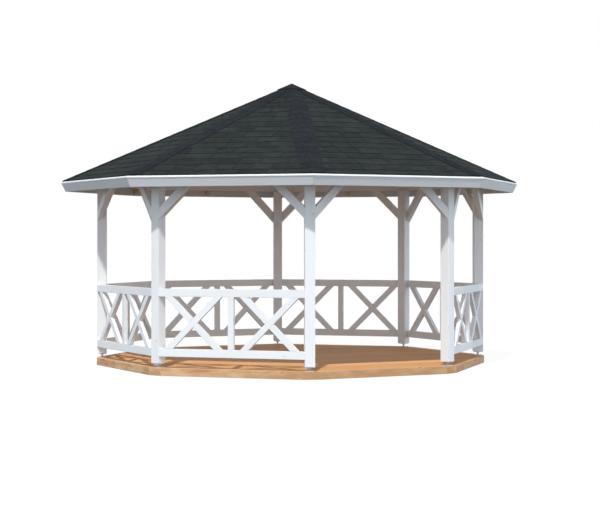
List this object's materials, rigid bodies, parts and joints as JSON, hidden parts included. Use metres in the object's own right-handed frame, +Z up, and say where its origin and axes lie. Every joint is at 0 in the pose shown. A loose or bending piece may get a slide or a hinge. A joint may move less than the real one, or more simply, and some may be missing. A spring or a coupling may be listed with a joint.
{
  "type": "octagonal garden gazebo",
  "caption": "Open octagonal timber garden gazebo: white posts, crossed-bar railings with one open entrance bay, knee braces, raised deck and dark shingled pyramid roof.",
  "frame": {"origin": "middle of the deck's underside, on the ground", "axes": "+Z up; the open entrance bay faces -Y, and +X is to its right seen from outside"},
  "size_m": [5.2764, 5.2764, 3.4838],
  "materials": {
    "white_timber": "opaque white paint over planed softwood, satin",
    "deck_timber": "impregnated softwood boards, matt orange-brown",
    "roof_timber": "roof boards and rafters of natural planed spruce, matt",
    "bitumen_shingle": "rectangular bitumen shingles with anthracite mineral granules",
    "galvanised_steel": "zinc-plated steel, dull"
  },
  "bodies": {
    "root": {"floor_joists": "deck_timber", "deck_boards": "deck_timber", "deck_edges": "deck_timber", "deck_corners": "deck_timber", "post_feet": "galvanised_steel", "post_1": "white_timber", "post_2": "white_timber", "post_3": "white_timber", "post_4": "white_timber", "post_5": "white_timber", "post_6": "white_timber", "post_7": "white_timber", "post_8": "white_timber", "railing_2": "white_timber", "railing_3": "white_timber", "railing_4": "white_timber", "railing_5": "white_timber", "railing_6": "white_timber", "railing_7": "white_timber", "railing_8": "white_timber", "beam_1": "white_timber", "beam_2": "white_timber", "beam_3": "white_timber", "beam_4": "white_timber", "beam_5": "white_timber", "beam_6": "white_timber", "beam_7": "white_timber", "beam_8": "white_timber", "braces_1": "white_timber", "braces_2": "white_timber", "braces_3": "white_timber", "braces_4": "white_timber", "braces_5": "white_timber", "braces_6": "white_timber", "braces_7": "white_timber", "braces_8": "white_timber", "hip_rafters": "roof_timber", "bay_rafters": "roof_timber", "roof_hub": "roof_timber", "roof_boards": "roof_timber", "fascia": "white_timber", "eave_trim": "white_timber", "shingles": "bitumen_shingle", "hip_caps": "bitumen_shingle", "apex_cap": "bitumen_shingle"}
  },
  "joints": []
}
